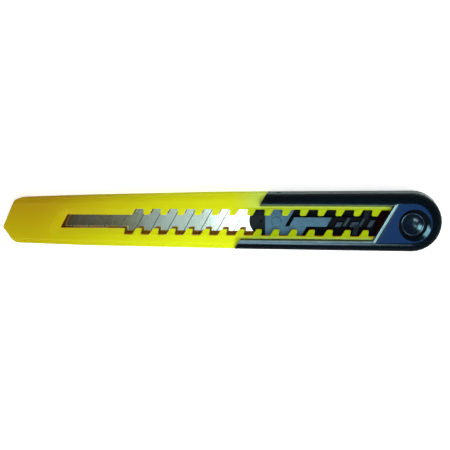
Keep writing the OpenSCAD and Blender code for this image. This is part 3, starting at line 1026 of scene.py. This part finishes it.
def build_camera():
    """Camera that looks down at the front face and leans a little towards +X and +Y."""
    right_lean, up_lean, roll = math.radians(8.446), math.radians(8.8), math.radians(-0.836)
    distance = 280 * MM
    target = Vector((2.99, -0.85, case_top)) * MM
    back = Vector((math.sin(right_lean) * math.cos(up_lean), math.sin(up_lean),
                   math.cos(right_lean) * math.cos(up_lean)))
    right = Vector((0, 1, 0)).cross(back).normalized()
    up = back.cross(right)
    right, up = (right * math.cos(roll) + up * math.sin(roll),
                 up * math.cos(roll) - right * math.sin(roll))
    data = bpy.data.cameras.new("camera")
    data.lens = 76.46
    data.sensor_width = 36
    data.clip_start = 0.01
    data.clip_end = 10
    camera = bpy.data.objects.new("camera", data)
    turn = Matrix((right, up, back)).transposed().to_4x4()
    camera.matrix_world = Matrix.Translation(target + back * distance) @ turn
    bpy.context.scene.collection.objects.link(camera)
    bpy.context.scene.camera = camera


def paper(name, near, far):
    """White paper that glows a little, from near at 0.4 m to far at 1.5 m from the knife."""
    m = Nodes(name)
    m.link(m.mix(m.noise(40, 3), (0.86, 0.86, 0.86), (0.90, 0.90, 0.90)), "Base Color")
    distance = m.node("ShaderNodeVectorMath", {0: m.place}, operation="LENGTH").outputs["Value"]
    m.link(m.ranged(distance, 0.4, 1.5, near, far), "Emission Strength")
    m.set(Roughness=0.9)
    m.set(Emission_Color=(1, 1, 1, 1))
    return m.material


def build_floor():
    """Paper floor, and a paper dome over it that only the camera sees."""
    reach = 4
    bm = bmesh.new()
    bmesh.ops.create_grid(bm, x_segments=8, y_segments=8, size=reach)
    floor = new_object("floor", bm)
    floor.data.materials.append(paper("floor_paper", 0.6, 0.95))
    floor.visible_glossy = False
    bm = bmesh.new()
    bmesh.ops.create_uvsphere(bm, u_segments=48, v_segments=24, radius=reach)
    dome = new_object("backdrop", bm)
    dome.data.materials.append(paper("backdrop_paper", 0.95, 0.95))
    dome.data.shade_smooth()
    dome.visible_glossy = False
    dome.visible_diffuse = False
    dome.visible_shadow = False


def area_light(name, place, aim, size, power, colour=(1, 1, 1), shade=True, shine=True):
    """Rectangular soft light, in metres and watts. With shine off it leaves no highlights, and
    with shade off it leaves nothing else."""
    data = bpy.data.lights.new(name, "AREA")
    data.shape = "RECTANGLE"
    data.size, data.size_y = size
    data.energy = power
    data.color = colour
    light = bpy.data.objects.new(name, data)
    light.location = place
    light.rotation_mode = "QUATERNION"
    light.rotation_quaternion = (Vector(place) - Vector(aim)).to_track_quat("Z", "Y")
    light.visible_glossy = shine
    light.visible_diffuse = shade
    bpy.context.scene.collection.objects.link(light)


def build_light():
    """Dim warm world, two matte lights that shade, and lights that only leave highlights."""
    world = bpy.data.worlds.new("world")
    bpy.context.scene.world = world
    world.use_nodes = True
    sky = world.node_tree.nodes["Background"]
    sky.inputs["Color"].default_value = (1.0, 0.72, 0.25, 1)
    sky.inputs["Strength"].default_value = 0.035
    middle = (0.0, 0.0, 0.0)
    area_light("main", (0.72, -0.72, 1.25), middle, (1.5, 1.3), 30, shine=False)
    area_light("fill", (-0.1, 1.2, 0.9), middle, (1.5, 1.0), 11, shine=False)
    area_light("streak", (-0.34, -0.94, 1.2), middle, (0.8, 0.45), 17, (0.85, 0.97, 1.0), shade=False)
    area_light("left", (-1.2, 0.42, 1.1), middle, (0.95, 0.9), 60, (0.6, 0.97, 1.0), shade=False)
    area_light("bevel", (-0.35, 0.25, 1.5), (-0.35, 0.25, 0), (0.55, 0.35), 6, (0.7, 0.97, 1.0),
               shade=False)
    # Strips straight overhead that the flat faces mirror: from x, to x, radiance and colour
    strips = [
        (-0.62, -0.44, 0.03, (1.0, 0.60, 0.05)),
        (-0.44, -0.38, 0.12, (1.0, 1.0, 0.30)),
        (-0.38, -0.33, 0.45, (0.75, 1.0, 1.0)),
        (-0.33, -0.22, 0.70, (0.75, 1.0, 0.90)),
        (-0.22, -0.05, 3.50, (0.85, 1.0, 0.97)),
        (-0.05, 0.27, 5.60, (0.10, 0.32, 1.0)),
    ]
    y, height, depth = -0.18, 1.5, 0.46
    for start, end, radiance, colour in strips:
        x, width = (start + end) / 2, end - start
        area_light("strip", (x, y, height), (x, y, 0), (width, depth),
                   radiance * math.pi * width * depth, colour, shade=False)


def build():
    """Every piece, then the camera, the floor and the light."""
    # Painted shade and glow for the walls, floor and ceiling inside the window.
    amber = shade_and_glow_plastic("amber_walls_shade_and_glow", (0.28, 0.08, 0.001), (0.45, 0.20, 0.002), (0.06, 0.016, 0))
    brown = shade_and_glow_plastic("brown_floor_shade_and_glow", (0.05, 0.015, 0.002), (0.30, 0.14, 0.003), (0.002, 0, 0))
    olive = shade_and_glow_plastic("olive_ceiling_shade_and_glow", (0.30, 0.12, 0.002), (0.35, 0.15, 0.003), (0.05, 0.02, 0))
    yellow, grip = yellow_plastic(), grip_plastic()
    build_front_case(yellow, amber, olive)
    build_rear_case(yellow, brown)
    build_front_grip(grip, bevel_highlight_plastic(), recess_shade_plastic())
    build_rear_grip(grip)
    build_rivet(rivet_plastic())
    build_blade(blade_steel(), score_shade_steel())
    # The carrier's plate under the blade gets the nearly black painted shade.
    build_carrier(slate_plastic("carrier_plastic", 0.0055))
    nose = nose_shade_and_lug_plastic()
    build_clip(slate_plastic("clip_plastic", 0.0), nose)
    build_arm(slate_plastic("arm_plastic", 0.0061), nose)
    build_button(slider_plastic())
    build_camera()
    build_floor()
    build_light()
    bpy.context.scene.view_settings.view_transform = "Standard"


build()
